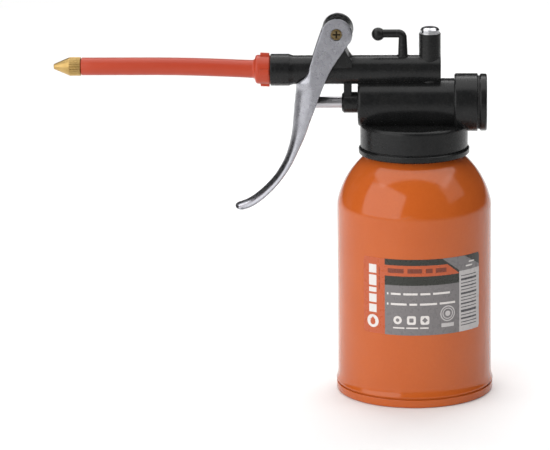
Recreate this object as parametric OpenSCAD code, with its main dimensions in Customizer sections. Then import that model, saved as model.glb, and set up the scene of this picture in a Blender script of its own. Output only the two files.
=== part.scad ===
// Trigger pump oil can, millimetres.
// Origin: centre of the base, on the surface the can stands on.
// +Z is up, the spout points along -X, the pump cylinder lies along X.

/* [Bottle] */
// Outer diameter of the bottle's body
bottle_d = 68; // [66:0.5:70]
// Height at which the shoulder begins
shoulder_z = 83.4; // [80:0.1:86]
// Radius of the domed shoulder
dome_r = 36.7; // [36:0.1:38]
// Outer diameter of the neck
neck_d = 38; // [37:0.5:39]
// Height of the mouth above the table
mouth_z = 117.5; // [117:0.1:118]
// Thickness of the sheet steel
sheet_t = 0.6; // [0.5:0.1:0.8]

/* [Label] */
// Lowest edge of the label
label_z = 33; // [30:1:36]
// Height of the label
label_h = 34; // [30:1:36]
// Angle that the label spans
label_angle = 96; // [80:0.5:120]

/* [Pump head] */
// Diameter of the screw-on skirt
skirt_d = 47.2; // [46.8:0.1:48]
// Height of the skirt's lower edge above the table
skirt_z = 107.2; // [107:0.1:108]
// Height of the pump cylinder's axis
pump_z = 129.6; // [129.4:0.1:129.8]
// Outer diameter of the pump cylinder
pump_d = 21; // [20.6:0.1:21.4]
// Diameter of the pump's bore
pump_bore_d = 16; // [15.5:0.1:16.5]
// Height of the barrel's axis
barrel_z = 144.2; // [144:0.1:144.4]
// Diameter of the barrel
barrel_d = 12.7; // [12.5:0.1:12.9]

/* [Trigger] */
// How far in front of the bottle's axis the trigger's pivot is
pivot_x = -33.5; // [-34:0.1:-33]
// Height of the trigger's pivot
pivot_z = 161.2; // [161:0.1:161.4]
// Radius of the trigger's round top end
trigger_end_r = 6.9; // [6.8:0.1:7]
// Width of the trigger over its two plates
trigger_w = 16.2; // [16:0.1:17]
// Thickness of the trigger's plates
plate_t = 1.5; // [1.3:0.1:1.6]

/* [Spout] */
// Outer diameter of the spout's tube
spout_d = 7.8; // [7.4:0.1:8.2]
// Where the spout tube ends, in front of the bottle's axis
spout_end_x = -148.5; // [-160:0.5:-140]
// How much higher the spout tube's far end lies, because of its slight bend
spout_rise = 1.7; // [1.2:0.1:2]

/* [Hidden] */
$fn = 96;

orange = [0.80, 0.34, 0.12];
black = [0.09, 0.09, 0.09];
steel = [0.75, 0.75, 0.77];
cast_metal = [0.62, 0.62, 0.65];
brass = [0.72, 0.58, 0.30];
spout_red = [0.82, 0.25, 0.12];
rubber = [0.13, 0.12, 0.12];
nylon = [0.88, 0.87, 0.82];
overlap = 1;

// Bottle
body_r = bottle_d / 2;
neck_r = neck_d / 2;
rim_h = 3.7;
rim_r = 34.7;
flare_r = 34.9;
flare_z = 4.5;
blend_r = 14;
dome_x = -2.03;
blend_x = body_r - blend_r;
blend_rise = sqrt(pow(dome_r - blend_r, 2) - pow(blend_x - dome_x, 2));
dome_z = shoulder_z - blend_rise;
blend_angle = atan2(blend_rise, blend_x - dome_x);
dome_angle = acos((neck_r + 0.6 - dome_x) / dome_r);
base_disc_z = 1.8;
// angle about Z at which the label begins
label_start = -90 - 39.7;

// Pump head
pump_r = pump_d / 2;
bore_r = pump_bore_d / 2;
barrel_r = barrel_d / 2;
skirt_r = skirt_d / 2;
skirt_top = 121;
ceiling_z = 119;
skirt_bore_r = 20.6;
cylinder_x = -24.5;
boss_x = 17.7;
boss_end_x = 27.9;
boss_r = 12.65;
bore_start_x = -20.5;
plug_bore_r = 9.5;
plug_front_x = boss_x + 0.05;
barrel_front_x = -53.1;
barrel_rear_x = 11.8;
socket_x = -62.7;
socket_rear_x = -54.2;
socket_r = 7;
socket_bore_r = 5;
socket_floor_x = -53.6;
passage_r = 2;
guide_x = -31.5;
guide_r = 4.6;
strut_x = -30.6;
strut_w = 3.4;

// Outlet valve, in the post behind the lever
post_x = 7;
post_r = 4.75;
post_top = 160.2;
chamber_r = 3;
outlet_seat_z = 139;
outlet_ball_r = 2.5;
seat_hole_r = 1.2;
seat_gap = 0.04;
outlet_ball_z = outlet_seat_z + sqrt(pow(outlet_ball_r, 2) - pow(seat_hole_r, 2)) + seat_gap;
screw_stem_z = 152;

// Inlet valve, under the pump's bore
inlet_x = 8;
inlet_boss_r = 6;
inlet_boss_z = 109;
inlet_bore_r = 3.5;
inlet_seat_z = 112.5;
inlet_ball_r = 2;
inlet_ball_z = inlet_seat_z + sqrt(pow(inlet_ball_r, 2) - pow(seat_hole_r, 2)) + seat_gap;
barb_r = 2.6;
barb_z = 98;

// Plunger
rod_r = 2.5;
rod_gap = 0.06;
piston_x = -17.5;
piston_end_x = -9;
cup_end_x = -6;
thread_r = 2;
thread_gap = 0.03;
rod_end_x = -1.6;
lever_arm = pivot_z - pump_z;
contact_arm = 15.9;
contact_gap = 0.05;
rod_tip_x = pivot_x - contact_arm + contact_gap;
squeeze = 20;

// Shut-off lever
lever_x = -4.8;
stem_r = 2.6;
stem_gap = 0.05;
stem_bottom = 141;
arm_z = 160.2;
arm_r = 1.8;
arm_end_x = -15.5;
ball_end_r = 2.9;

// Trigger
gap_half = trigger_w / 2 - plate_t;
web_t = 1.8;
pivot_r = 2;
pivot_gap = 0.05;
screw_head_r = 2.4;
lug_half = gap_half - 0.15;
// front edge of the side plates, from the round end down to where the web begins
plate_front = [[-39.96, 163.6], [-43.2, 154.3], [-45.9, 145.8], [-47.6, 142.3], [-51.2, 139.2]];
// front face of the web, down to the tip
web_front = [
    [-51.2, 139.2], [-51.5, 133], [-52, 127], [-52.7, 120], [-53.9, 113.3], [-56.2, 106],
    [-60, 98.8], [-65.5, 92.2], [-71.8, 87.2], [-76.2, 84.9]
];
// rounded tip
tip_curve = [[-76.2, 84.9], [-78.4, 83.9], [-79, 83], [-78.2, 82.3], [-75.6, 82.3]];
// rear edge of the side plates, from the tip up to the round end
plate_rear = [
    [-75.6, 82.3], [-72.3, 83.5], [-69.2, 85.6], [-65, 88.9], [-59.7, 94.3], [-54.7, 101.5], [-51, 108.7],
    [-47.8, 115.9], [-45.3, 123], [-42.5, 130.2], [-39.9, 137.3], [-35.9, 145.5], [-30.2, 154.1]
];

// Spout
spout_r = spout_d / 2;
spout_bore_r = 2.2;
collar_x = -69.6;
collar_r = 6.6;
shank_r = 4.9;
shank_end_x = -54.45;
bend_start_x = -62.6;
bend_end_x = -117;
tip_z = barrel_z + spout_rise;
stub_r = 3;
stub_start_x = -145.9;
nozzle_x = -146.1;
knurl_end_x = -150.9;
nozzle_end_x = -158.1;

// a point on a circle
function polar(r, a) = [r * cos(a), r * sin(a)];
// points of an arc about a centre
function arc(c, r, a0, a1, n) = [for (i = [0:n]) c + polar(r, a0 + (a1 - a0) * i / n)];
// a curve through points, with n steps between two of them
function curve(p, n) = [
    for (i = [0:len(p) - 2], k = [0:n - 1])
        let (a = p[max(i - 1, 0)], b = p[i], c = p[i + 1], d = p[min(i + 2, len(p) - 1)], t = k / n)
            0.5 * (2 * b + t * (c - a) + t * t * (2 * a - 5 * b + 4 * c - d) + t * t * t * (3 * b - a - 3 * c + d))
];

// a cylinder along X from x0 to x1
module rod_x(x0, x1, r, z, r_end = undef) {
    r_far = is_undef(r_end) ? r : r_end;
    translate([x0, 0, z])
        rotate([0, 90, 0])
            cylinder(h = x1 - x0, r1 = r, r2 = r_far);
}

// a profile of [x, r] points turned about the X axis at height z
module turned_x(points, z) {
    translate([0, 0, z])
        rotate([0, 90, 0])
            rotate_extrude()
                polygon([for (p = points) [p[1], p[0]]]);
}

module turned(points) {
    rotate_extrude()
        polygon(points);
}

// a round wire coiled about Z, as one closed mesh
module coil(r, wire_r, length, turns, steps, sides) {
    n = turns * steps;
    rise = length - 2 * wire_r;
    ring = [
        for (i = [0:n], k = [0:sides - 1])
            let (a = 360 * i / steps, b = 360 * k / sides, q = r + wire_r * cos(b))
                [q * cos(a), q * sin(a), wire_r + rise * i / n + wire_r * sin(b)]
    ];
    sides_faces = [
        for (i = [0:n - 1], k = [0:sides - 1])
            let (j = (k + 1) % sides)
                [i * sides + k, (i + 1) * sides + k, (i + 1) * sides + j, i * sides + j]
    ];
    first = [for (k = [0:sides - 1]) k];
    last = [for (k = [sides - 1:-1:0]) n * sides + k];
    polyhedron(ring, concat([first, last], sides_faces));
}

// --- bottle -------------------------------------------------------------

// the bottle's profile at a distance inside its outer face
function bottle_side(inset) = concat(
    [[flare_r - inset - 0.5, rim_h], [flare_r - inset, flare_z], [body_r - inset + 0.3, flare_z + 1.8]],
    [[body_r - inset, flare_z + 3.5]],
    arc([blend_x, shoulder_z], blend_r - inset, 0, blend_angle, 6),
    [for (i = [1:14]) [dome_x, dome_z] + polar(dome_r - inset, blend_angle + (dome_angle - blend_angle) * i / 14)],
    [[neck_r - inset, dome_z + dome_r * sin(dome_angle) + 1.2], [neck_r - inset, mouth_z]]
);

module bottle_shell() {
    outer = bottle_side(0);
    inner = bottle_side(sheet_t);
    color(orange)
        turned(concat(outer, [for (i = [len(inner) - 1:-1:0]) inner[i]]));
}

module bottle_base() {
    rim_in = 32.6;
    plug_r = body_r - sheet_t - 0.06;
    color(orange)
        turned([
            [0, base_disc_z], [rim_in - 1, base_disc_z], [rim_in, 0], [rim_r - 0.5, 0], [rim_r - 0.1, 0.3],
            [rim_r, 0.8], [rim_r, rim_h - 0.6], [rim_r - 0.4, rim_h], [plug_r, rim_h],
            [plug_r, 7.5], [plug_r - sheet_t, 7.5], [plug_r - sheet_t, base_disc_z + sheet_t],
            [0, base_disc_z + sheet_t]
        ]);
}

module label() {
    color([0.45, 0.43, 0.44])
        rotate([0, 0, label_start])
            translate([0, 0, label_z])
                rotate_extrude(angle = label_angle)
                    translate([body_r + 0.02, 0])
                        square([0.12, label_h]);
}

module mouth_gasket() {
    color(rubber)
        turned([
            [neck_r - 3, mouth_z], [neck_r + 1, mouth_z],
            [neck_r + 1, ceiling_z], [neck_r - 3, ceiling_z]
        ]);
}

// --- pump head ----------------------------------------------------------

module skirt_outside() {
    bead_r = 24.3;
    bead_top = 110;
    groove_top = 110.7;
    edge_r = 1.6;
    turned(concat(
        [[0, ceiling_z], [0, skirt_top], [skirt_r - edge_r, skirt_top]],
        arc([skirt_r - edge_r, skirt_top - edge_r], edge_r, 90, 0, 8),
        [
            [skirt_r, groove_top], [skirt_r - 0.5, groove_top - 0.2], [skirt_r - 0.5, bead_top],
            [bead_r - 0.4, bead_top], [bead_r, bead_top - 0.5], [bead_r, skirt_z + 0.5],
            [bead_r - 0.5, skirt_z], [skirt_bore_r, skirt_z], [skirt_bore_r, ceiling_z]
        ]
    ));
}

// the lug that carries the trigger, seen from the side
module lug_shape() {
    translate([pivot_x, pivot_z])
        circle(r = trigger_end_r - 0.2);
    polygon([
        [pivot_x - 6.3, pivot_z - 2], [pivot_x + 6.3, pivot_z - 2.3], [-29.8, 154], [-28.4, 151.2],
        [-26.9, barrel_z + 5], [-26.9, barrel_z + 2], [-42, barrel_z + 2], [-41.3, 152], [-40.6, 155]
    ]);
}

// the pump cylinder with its rounded front end, and the thicker end boss
module pump_cylinder_outside() {
    front_edge = 1.4;
    boss_edge = 0.9;
    rear_edge = 0.5;
    turned_x(concat(
        [[cylinder_x, 0]],
        arc([cylinder_x + front_edge, pump_r - front_edge], front_edge, 180, 90, 10),
        [[boss_x, pump_r]],
        arc([boss_x + boss_edge, boss_r - boss_edge], boss_edge, 180, 90, 5),
        arc([boss_end_x - rear_edge, boss_r - rear_edge], rear_edge, 90, 0, 4),
        [[boss_end_x, 0]]
    ), pump_z);
}

// the barrel, and the wider socket for the spout at its front end
module barrel_outside() {
    edge = 0.4;
    turned_x([
        [barrel_front_x, 0], [barrel_front_x, barrel_r], [barrel_rear_x - 0.3, barrel_r],
        [barrel_rear_x, barrel_r - 0.3], [barrel_rear_x, 0]
    ], barrel_z);
    turned_x(concat(
        [[socket_x, 0]],
        arc([socket_x + edge, socket_r - edge], edge, 180, 90, 4),
        arc([socket_rear_x - edge, socket_r - edge], edge, 90, 30, 3),
        [[barrel_front_x + overlap, barrel_r - 0.2], [barrel_front_x + overlap, 0]]
    ), barrel_z);
}

module pump_head_outside() {
    difference() {
        union() {
            skirt_outside();
            pump_cylinder_outside();
        }
        // nothing reaches into the room for the bottle's neck and its gasket
        translate([0, 0, skirt_z - overlap])
            cylinder(h = ceiling_z - skirt_z + overlap, r = skirt_bore_r);
    }
    barrel_outside();
    // web that joins the barrel to the pump cylinder
    translate([cylinder_x + 2, -4, pump_z + 6])
        cube([barrel_rear_x - cylinder_x - 2, 8, barrel_z - pump_z - 6]);
    // lug for the trigger
    rotate([90, 0, 0])
        linear_extrude(height = 2 * lug_half, center = true)
            lug_shape();
    // guide for the plunger rod, on its strut
    turned_x([
        [guide_x, 0], [guide_x, guide_r - 0.9], [guide_x + 0.9, guide_r],
        [cylinder_x + overlap, guide_r], [cylinder_x + overlap, 0]
    ], pump_z);
    translate([strut_x, -3, pump_z + 2])
        cube([strut_w, 6, barrel_z - pump_z - 4]);
    // outlet valve post
    translate([post_x, 0, barrel_z - 6])
        cylinder(h = post_top - barrel_z + 6, r = post_r);
    // seat for the inlet valve, inside the skirt
    translate([inlet_x, 0, inlet_boss_z])
        cylinder(h = ceiling_z - inlet_boss_z + overlap, r = inlet_boss_r);
}

module pump_head() {
    seal_r = 4.1;
    seal_w = 2.2;
    port_r = 1.5;
    color(black)
        difference() {
            pump_head_outside();
            // pump bore, and the plug's wider thread behind it
            rod_x(bore_start_x, boss_end_x + overlap, bore_r, pump_z);
            rod_x(boss_x, boss_end_x + overlap, plug_bore_r, pump_z);
            // rod guide and its seal's recess
            rod_x(guide_x - overlap, bore_start_x + overlap, rod_r + rod_gap, pump_z);
            rod_x(bore_start_x - seal_w, bore_start_x + overlap, seal_r, pump_z);
            // oil passage and spout socket
            rod_x(socket_floor_x - overlap, post_x, passage_r, barrel_z);
            rod_x(socket_x - overlap, socket_floor_x, socket_bore_r, barrel_z);
            // outlet valve chamber above its seat hole
            translate([post_x, 0, outlet_seat_z])
                cylinder(h = post_top - outlet_seat_z + overlap, r = chamber_r);
            translate([post_x, 0, pump_z])
                cylinder(h = outlet_seat_z - pump_z + overlap, r = seat_hole_r);
            // shut-off lever's bore
            translate([lever_x, 0, stem_bottom - 0.3])
                cylinder(h = 12, r = stem_r + stem_gap);
            // inlet valve's bore and the port above it
            translate([inlet_x, 0, inlet_boss_z - overlap])
                cylinder(h = ceiling_z - inlet_boss_z + overlap, r = inlet_bore_r);
            translate([inlet_x, 0, ceiling_z - overlap])
                cylinder(h = pump_z - ceiling_z, r = port_r);
            // trigger pivot
            translate([pivot_x, 0, pivot_z])
                rotate([90, 0, 0])
                    cylinder(h = trigger_w, r = pivot_r + pivot_gap, center = true);
        }
}

module shutoff_lever() {
    barrel_top = barrel_z + barrel_r;
    corner_r = arm_r + 0.05;
    hole_r = 1.6;
    color(black)
        difference() {
            union() {
                translate([lever_x, 0, stem_bottom])
                    cylinder(h = barrel_top + 0.1 - stem_bottom, r = stem_r);
                translate([lever_x, 0, barrel_top])
                    cylinder(h = arm_z - corner_r - barrel_top, r1 = arm_r + 0.35, r2 = arm_r);
                translate([lever_x - corner_r, 0, arm_z - corner_r])
                    rotate([90, 0, 0])
                        rotate_extrude(angle = 90)
                            translate([corner_r, 0])
                                circle(r = arm_r, $fn = 48);
                rod_x(arm_end_x, lever_x - corner_r, arm_r, arm_z);
                translate([arm_end_x, 0, arm_z - 0.25])
                    sphere(r = ball_end_r);
            }
            rod_x(lever_x - 4, lever_x + 4, hole_r, barrel_z);
        }
}

module cylinder_plug() {
    rim_x = 28.7;
    rim_end_x = 31.9;
    plug_rim_r = 12.5;
    edge = 0.8;
    recess_r = 8.4;
    recess_depth = 3;
    bar_half = 1.2;
    wall_x = rim_end_x - recess_depth;
    color(black)
        union() {
            turned_x(concat(
                [[plug_front_x, 0], [plug_front_x, plug_bore_r - 0.1], [rim_x, plug_bore_r - 0.1]],
                arc([rim_x + edge, plug_rim_r - edge], edge, 180, 90, 5),
                arc([rim_end_x - edge, plug_rim_r - edge], edge, 90, 0, 5),
                [[rim_end_x, recess_r], [wall_x, recess_r - 0.3], [wall_x, 0]]
            ), pump_z);
            // grip bar across the recess
            translate([wall_x - overlap, -bar_half, pump_z - recess_r])
                cube([recess_depth + overlap - 0.5, 2 * bar_half, 2 * recess_r]);
        }
}

module plug_seal() {
    color(rubber)
        turned_x([
            [boss_end_x, plug_bore_r + 0.05], [boss_end_x, 11.7], [boss_end_x + 0.8, 11.7],
            [boss_end_x + 0.8, plug_bore_r + 0.05]
        ], pump_z);
}

// --- plunger ------------------------------------------------------------

module plunger_rod() {
    color(steel)
        turned_x(concat(
            [[rod_tip_x, 0]],
            [for (i = [1:8]) [rod_tip_x + rod_r, 0] + polar(rod_r, 180 - 90 * i / 8)],
            [[piston_x, rod_r], [piston_x, thread_r], [rod_end_x, thread_r], [rod_end_x, 0]]
        ), pump_z);
}

module rod_seal() {
    color(rubber)
        turned_x([
            [bore_start_x - 2.1, rod_r + 0.04], [bore_start_x - 2.1, 4.05],
            [bore_start_x, 4.05], [bore_start_x, rod_r + 0.04]
        ], pump_z);
}

module piston() {
    piston_r = bore_r - 0.08;
    color(nylon)
        turned_x([
            [piston_x, thread_r + thread_gap], [piston_x, piston_r - 0.6], [piston_x + 0.6, piston_r],
            [piston_x + 3, piston_r], [piston_x + 3, piston_r - 1.5], [piston_end_x - 2, piston_r - 1.5],
            [piston_end_x - 2, piston_r], [piston_end_x, piston_r], [piston_end_x, thread_r + thread_gap]
        ], pump_z);
}

module piston_cup() {
    cup_r = bore_r - 0.04;
    lip_t = 1.1;
    color(rubber)
        turned_x([
            [piston_end_x, thread_r + thread_gap], [piston_end_x, cup_r - 0.3], [piston_end_x + 0.3, cup_r],
            [cup_end_x, cup_r], [cup_end_x, cup_r - lip_t], [piston_end_x + 1.4, cup_r - lip_t - 0.4],
            [piston_end_x + 1.4, thread_r + thread_gap]
        ], pump_z);
}

module piston_washer() {
    x0 = piston_end_x + 1.4;
    color(steel)
        turned_x([
            [x0, thread_r + thread_gap], [x0, 6.2], [x0 + 1, 6.2], [x0 + 1, thread_r + thread_gap]
        ], pump_z);
}

module piston_nut() {
    x0 = piston_end_x + 2.4;
    across_corners = 8.1;
    color(steel)
        difference() {
            translate([x0, 0, pump_z])
                rotate([0, 90, 0])
                    cylinder(h = 3.2, d = across_corners, $fn = 6);
            rod_x(x0 - overlap, x0 + 4.2, thread_r + thread_gap, pump_z);
        }
}

module return_spring() {
    x0 = piston_end_x + 2.5;
    color(steel)
        translate([x0, 0, pump_z])
            rotate([0, 90, 0])
                coil(r = 5.3, wire_r = 0.6, length = plug_front_x - 0.05 - x0, turns = 6, steps = 24, sides = 8);
}

// --- valves -------------------------------------------------------------

module outlet_ball() {
    color(steel)
        translate([post_x, 0, outlet_ball_z])
            sphere(r = outlet_ball_r);
}

module outlet_spring() {
    z0 = outlet_ball_z + 1.75;
    color(steel)
        translate([post_x, 0, z0])
            coil(r = 2.25, wire_r = 0.3, length = screw_stem_z - z0, turns = 6, steps = 20, sides = 6);
}

module cross_recess(size, depth) {
    for (a = [0, 90])
        rotate([0, 0, a])
            translate([-size / 2, -size * 0.11, 0])
                cube([size, size * 0.22, depth]);
}

module outlet_valve_screw() {
    head_r = 4.15;
    head_z = post_top + 0.5;
    head_h = 2.4;
    color(steel)
        translate([post_x, 0, 0])
            difference() {
                turned([
                    [0, screw_stem_z], [chamber_r - 0.1, screw_stem_z], [chamber_r - 0.1, head_z],
                    [head_r, head_z], [head_r, head_z + 1.2], [head_r - 0.5, head_z + 1.9],
                    [head_r - 1.4, head_z + 2.3], [0, head_z + head_h]
                ]);
                translate([0, 0, head_z + head_h - 1.5])
                    cross_recess(4.4, 2);
            }
}

module screw_washer() {
    color(steel)
        translate([post_x, 0, post_top])
            difference() {
                cylinder(h = 0.5, r = 4.4);
                translate([0, 0, -overlap])
                    cylinder(h = 3, r = chamber_r - 0.05);
            }
}

module inlet_valve_body() {
    hole_r = 1.2;
    cage_r = 2.35;
    shank_r = inlet_bore_r - 0.05;
    top_z = ceiling_z - overlap - 0.1;
    color(brass)
        translate([inlet_x, 0, 0])
            turned([
                [hole_r, barb_z], [barb_r - 0.5, barb_z], [barb_r, barb_z + 2], [barb_r - 0.4, barb_z + 2],
                [barb_r, barb_z + 4], [barb_r - 0.4, barb_z + 4], [barb_r - 0.4, 106.6], [5, 106.6],
                [5, inlet_boss_z], [shank_r, inlet_boss_z], [shank_r, top_z], [cage_r, top_z],
                [cage_r, inlet_seat_z], [hole_r, inlet_seat_z]
            ]);
}

module inlet_ball() {
    color(steel)
        translate([inlet_x, 0, inlet_ball_z])
            sphere(r = inlet_ball_r);
}

module suction_tube() {
    tube_r = 3.4;
    tube_bore_r = barb_r + 0.02;
    tube_z = 8;
    color(nylon)
        difference() {
            translate([inlet_x, 0, tube_z])
                cylinder(h = 106.5 - tube_z, r = tube_r);
            translate([inlet_x, 0, tube_z - overlap])
                cylinder(h = 110 - tube_z, r = tube_bore_r);
            // slanted cut at the lower end
            translate([inlet_x, 0, tube_z])
                rotate([0, 40, 0])
                    translate([-15, -10, -20])
                        cube([30, 20, 20]);
        }
}

// --- trigger ------------------------------------------------------------

trigger_outline = concat(
    arc([pivot_x, pivot_z], trigger_end_r, -35, 159.5, 24),
    curve(plate_front, 4),
    curve(web_front, 4),
    curve(tip_curve, 4),
    curve(plate_rear, 4)
);

// the hollow behind the web, between the two side plates
module trigger_inside_shape() {
    solid_tip_x = -71;
    polygon(concat(
        [for (p = curve(web_front, 4)) if (p[0] > solid_tip_x) p + [web_t, 0]],
        [[solid_tip_x + web_t, 75], [-20, 75], [-20, 175], [-60, 175], [-60, 139.2]]
    ));
}

// half the trigger's width at each height, seen from the front
function half_width(z, inset) = min(trigger_w / 2, 5.4 + 2.7 * (z - 82) / 46) - inset;

module trigger_front_shape(inset) {
    heights = [for (z = [84:4:128]) z];
    right = concat(
        [[3.6 - inset, 81.6 + inset], [half_width(83, inset) - 0.4, 82.2 + inset]],
        [for (z = heights) [half_width(z, inset), z]],
        [[trigger_w / 2 - inset, 175]]
    );
    left = [for (i = [len(right) - 1:-1:0]) [-right[i][0], right[i][1]]];
    polygon(concat(right, left));
}

// pushes the plunger rod: an involute, so that the rod moves in step with the trigger's angle
module push_pad() {
    face = [
        for (i = [0:8])
            let (a = squeeze * i / 8, left = contact_arm - lever_arm * a * PI / 180)
                [
                    pivot_x - lever_arm * sin(a) - left * cos(a),
                    pivot_z - lever_arm * cos(a) + left * sin(a)
                ]
    ];
    foot_x = pivot_x - contact_arm;
    rotate([90, 0, 0])
        linear_extrude(height = 7, center = true)
            polygon(concat(
                [[-51, pump_z - 2.4], [foot_x, pump_z - 2.4]],
                face,
                [[face[8][0], face[8][1] + 0.6], [-51, face[8][1] + 2.2]]
            ));
}

module trigger() {
    color(cast_metal)
        difference() {
            union() {
                difference() {
                    intersection() {
                        rotate([90, 0, 0])
                            linear_extrude(height = trigger_w, center = true)
                                polygon(trigger_outline);
                        rotate([90, 0, 90])
                            linear_extrude(height = 200, center = true)
                                trigger_front_shape(0);
                    }
                    intersection() {
                        rotate([90, 0, 0])
                            linear_extrude(height = trigger_w, center = true)
                                trigger_inside_shape();
                        rotate([90, 0, 90])
                            linear_extrude(height = 200, center = true)
                                trigger_front_shape(plate_t);
                    }
                }
                push_pad();
            }
            // the web's upper edge arches round the barrel
            rod_x(-70, -40, barrel_r + 0.6, barrel_z);
            // pivot hole, and the seat of the screw's head
            translate([pivot_x, 0, pivot_z])
                rotate([90, 0, 0]) {
                    cylinder(h = trigger_w + 2, r = pivot_r + 0.02, center = true);
                    translate([0, 0, trigger_w / 2 - 1.1])
                        cylinder(h = 3, r = screw_head_r + 0.03);
                }
        }
}

module pivot_screw() {
    color(brass)
        translate([pivot_x, 0, pivot_z])
            rotate([90, 0, 0])
                difference() {
                    union() {
                        translate([0, 0, -trigger_w / 2])
                            cylinder(h = trigger_w - 1.1, r = pivot_r);
                        translate([0, 0, trigger_w / 2 - 1.1])
                            cylinder(h = 1.1, r = screw_head_r);
                    }
                    translate([0, 0, trigger_w / 2 - 0.8])
                        cross_recess(3.3, 2);
                }
}

// --- spout --------------------------------------------------------------

// height of the spout tube's axis at x: a gentle rise from the collar that eases off until it is level
function spout_height(x) =
    let (t = min(max((bend_start_x - x) / (bend_start_x - bend_end_x), 0), 1))
        barrel_z + spout_rise * sin(90 * t);

// a solid ring of points about the spout's axis for each [x, radius], closed end to end
module spout_mesh(rings, sides) {
    m = len(rings);
    points = [
        for (s = rings, k = [0:sides - 1])
            [s[0], s[1] * cos(360 * k / sides), spout_height(s[0]) + s[1] * sin(360 * k / sides)]
    ];
    faces = [
        for (i = [0:m - 1], k = [0:sides - 1])
            let (j = (k + 1) % sides, next = (i + 1) % m)
                [i * sides + k, i * sides + j, next * sides + j, next * sides + k]
    ];
    polyhedron(points, faces);
}

module spout() {
    rib_x = -66.9;
    tube_x = -72;
    rib_end_x = -63.4;
    rib_w = 2.2;
    rib_r = 7.3;
    fillet_r = 1.5;
    shank = [[shank_end_x, shank_r], [socket_x - 0.1, shank_r], [socket_x - 0.1, collar_r]];
    collar = arc([collar_x + 1.6, collar_r - 1.6], 1.6, 90, 160, 4);
    fillet = arc([collar_x - fillet_r + 0.2, spout_r + fillet_r], fillet_r, -10, -90, 4);
    bend = [for (x = [tube_x:-5:bend_end_x]) [x, spout_r]];
    bore = [for (x = [bend_end_x:4:bend_start_x]) [x, spout_bore_r]];
    bore_ends = [[spout_end_x, spout_bore_r], [shank_end_x, spout_bore_r]];
    stub = [[stub_start_x, spout_r], [stub_start_x, stub_r], [spout_end_x, stub_r]];
    color(spout_red)
        union() {
            spout_mesh(concat(shank, collar, fillet, bend, stub, [bore_ends[0]], bore, [bore_ends[1]]), 40);
            for (a = [0:90:270])
                translate([rib_x, 0, barrel_z])
                    rotate([a, 0, 0])
                        translate([0, -rib_w / 2, collar_r - 1])
                            cube([rib_end_x - rib_x, rib_w, rib_r - collar_r + 1]);
        }
}

module spout_seal() {
    color(rubber)
        turned_x([
            [shank_end_x, spout_bore_r], [shank_end_x, 4.8],
            [socket_floor_x, 4.8], [socket_floor_x, spout_bore_r]
        ], barrel_z);
}

module nozzle_tip() {
    knurl_r = 4.1;
    grooves = 24;
    mouth_r = 1.25;
    orifice_r = 0.6;
    color(brass)
        difference() {
            turned_x([
                [nozzle_end_x, 0], [nozzle_end_x, mouth_r], [knurl_end_x, knurl_r - 0.5],
                [knurl_end_x, knurl_r], [nozzle_x, knurl_r], [nozzle_x, 0]
            ], tip_z);
            rod_x(spout_end_x - 0.5, nozzle_x + 5, stub_r + 0.05, tip_z);
            rod_x(nozzle_end_x - overlap, spout_end_x, orifice_r, tip_z);
            for (i = [0:grooves - 1])
                translate([knurl_end_x - overlap, 0, tip_z])
                    rotate([i * 360 / grooves, 0, 0])
                        translate([0, knurl_r - 0.25, -0.25])
                            cube([nozzle_x - knurl_end_x + 2, 1, 0.5]);
        }
}

bottle_shell();
bottle_base();
label();
mouth_gasket();
pump_head();
shutoff_lever();
cylinder_plug();
plug_seal();
plunger_rod();
rod_seal();
piston();
piston_cup();
piston_washer();
piston_nut();
return_spring();
outlet_ball();
outlet_spring();
outlet_valve_screw();
screw_washer();
inlet_valve_body();
inlet_ball();
suction_tube();
trigger();
pivot_screw();
spout();
spout_seal();
nozzle_tip();
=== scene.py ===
"""Looks of the trigger pump oil can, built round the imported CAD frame."""

import math

import bmesh
import bpy
from mathutils import Matrix, Vector


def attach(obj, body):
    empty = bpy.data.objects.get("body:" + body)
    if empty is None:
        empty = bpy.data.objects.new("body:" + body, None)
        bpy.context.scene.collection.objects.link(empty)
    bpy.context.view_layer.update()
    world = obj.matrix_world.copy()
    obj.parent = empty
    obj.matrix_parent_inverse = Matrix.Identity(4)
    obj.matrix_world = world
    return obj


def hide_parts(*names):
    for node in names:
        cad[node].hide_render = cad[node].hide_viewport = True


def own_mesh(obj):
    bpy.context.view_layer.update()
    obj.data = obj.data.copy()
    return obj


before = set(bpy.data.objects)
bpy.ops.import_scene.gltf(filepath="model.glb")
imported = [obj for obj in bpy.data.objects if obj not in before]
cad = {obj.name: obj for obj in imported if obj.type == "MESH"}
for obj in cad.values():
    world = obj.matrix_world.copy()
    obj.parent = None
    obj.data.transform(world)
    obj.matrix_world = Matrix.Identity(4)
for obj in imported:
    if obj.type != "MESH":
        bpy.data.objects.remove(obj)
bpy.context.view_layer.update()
MM = 0.001


# --- camera, floor and lights ------------------------------------------------


def make_camera():
    """The camera, a long way off with a long lens, a little to the right and above."""
    target = Vector((-61.62, 0, 74.14)) * MM
    azimuth, elevation, roll = (math.radians(a) for a in (3.0, 13.93, -0.72))
    distance = 1.5
    flat = math.cos(elevation)
    back = Vector((math.sin(azimuth) * flat, -math.cos(azimuth) * flat, math.sin(elevation)))
    level = Vector((math.cos(azimuth), math.sin(azimuth), 0))
    upright = back.cross(level)
    right = level * math.cos(roll) + upright * math.sin(roll)
    up = upright * math.cos(roll) - level * math.sin(roll)
    data = bpy.data.cameras.new("camera")
    data.sensor_width = 36
    data.lens = 221.6
    data.clip_start, data.clip_end = 0.05, 100
    camera = bpy.data.objects.new("camera", data)
    turn = Matrix((right, up, back)).transposed().to_4x4()
    camera.matrix_world = Matrix.Translation(target + back * distance) @ turn
    bpy.context.scene.collection.objects.link(camera)
    bpy.context.scene.camera = camera


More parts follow.
